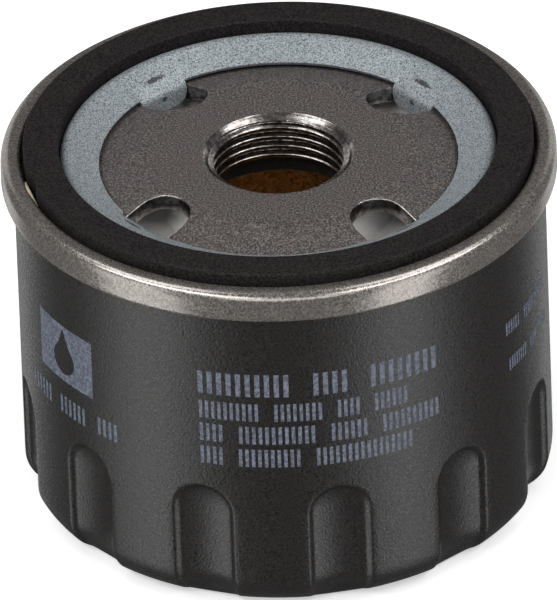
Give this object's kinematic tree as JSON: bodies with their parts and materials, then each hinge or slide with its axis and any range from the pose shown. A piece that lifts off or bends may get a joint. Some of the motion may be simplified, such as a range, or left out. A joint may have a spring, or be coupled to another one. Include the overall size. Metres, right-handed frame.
{
  "type": "oil filter",
  "caption": "Spin-on oil filter: a painted can with wrench flutes, a rolled seam, a threaded base plate and a face gasket around a pleated element with bypass and anti-drainback valves.",
  "frame": {"origin": "centre of the closed end, on the plane the filter stands on", "axes": "+Z along the thread's axis towards the engine; the inlet slots lie at 39.6 degrees and every 90 degrees from +X"},
  "size_m": [0.0785, 0.0784, 0.0559],
  "materials": {
    "can": "black stoving paint, satin, over drawn steel",
    "seaming_lid": "zinc-coated sheet, bare steel on the rolled seam",
    "seam_compound": "dull sealing compound",
    "base_plate": "dark phosphated steel, cut thread bright",
    "sealing_gasket": "matt black nitrile",
    "support_spring": "drawn spring wire",
    "spring_seat": "tinned sheet",
    "lower_end_cap": "tinned sheet",
    "upper_end_cap": "tinned sheet",
    "lower_potting": "cured plastisol",
    "upper_potting": "cured plastisol",
    "pleated_paper": "resin-treated filter paper",
    "paper_seam_clip": "folded tinned strip",
    "centre_tube": "gold-passivated perforated sheet",
    "hub_seal": "black nitrile",
    "drainback_diaphragm": "pale silicone, smooth",
    "drainback_lip": "pale silicone, smooth",
    "bypass_seat": "tinned pressing",
    "bypass_cage": "tinned pressing",
    "bypass_spring": "drawn spring wire",
    "bypass_disc": "stamped disc",
    "bypass_seal": "black nitrile",
    "bypass_stem": "turned rivet"
  },
  "bodies": {
    "housing": {"can": "can", "seaming_lid": "seaming_lid", "seam_compound": "seam_compound", "base_plate": "base_plate", "sealing_gasket": "sealing_gasket", "support_spring": "support_spring"},
    "element": {"spring_seat": "spring_seat", "lower_end_cap": "lower_end_cap", "upper_end_cap": "upper_end_cap", "lower_potting": "lower_potting", "upper_potting": "upper_potting", "pleated_paper": "pleated_paper", "paper_seam_clip": "paper_seam_clip", "centre_tube": "centre_tube", "hub_seal": "hub_seal", "drainback_diaphragm": "drainback_diaphragm", "bypass_seat": "bypass_seat", "bypass_cage": "bypass_cage", "bypass_spring": "bypass_spring"},
    "drainback_edge": {"drainback_lip": "drainback_lip"},
    "bypass_poppet": {"bypass_disc": "bypass_disc", "bypass_seal": "bypass_seal", "bypass_stem": "bypass_stem"}
  },
  "joints": [
    {"name": "element_float", "type": "slide", "parent": "housing", "child": "element", "axis": [0, 0, 1], "range_m": [-0.0012, 0], "stiffness_N_per_m": 6000, "springref_m": 0.004, "deforming": ["support_spring"]},
    {"name": "drainback_open", "type": "slide", "parent": "element", "child": "drainback_edge", "axis": [0, 0, 1], "range_m": [-0.0012, 0], "stiffness_N_per_m": 60, "springref_m": 0.003, "deforming": ["drainback_diaphragm"]},
    {"name": "bypass_lift", "type": "slide", "parent": "element", "child": "bypass_poppet", "axis": [0, 0, 1], "range_m": [0, 0.0025], "stiffness_N_per_m": 800, "springref_m": -0.012, "deforming": ["bypass_spring"]}
  ]
}
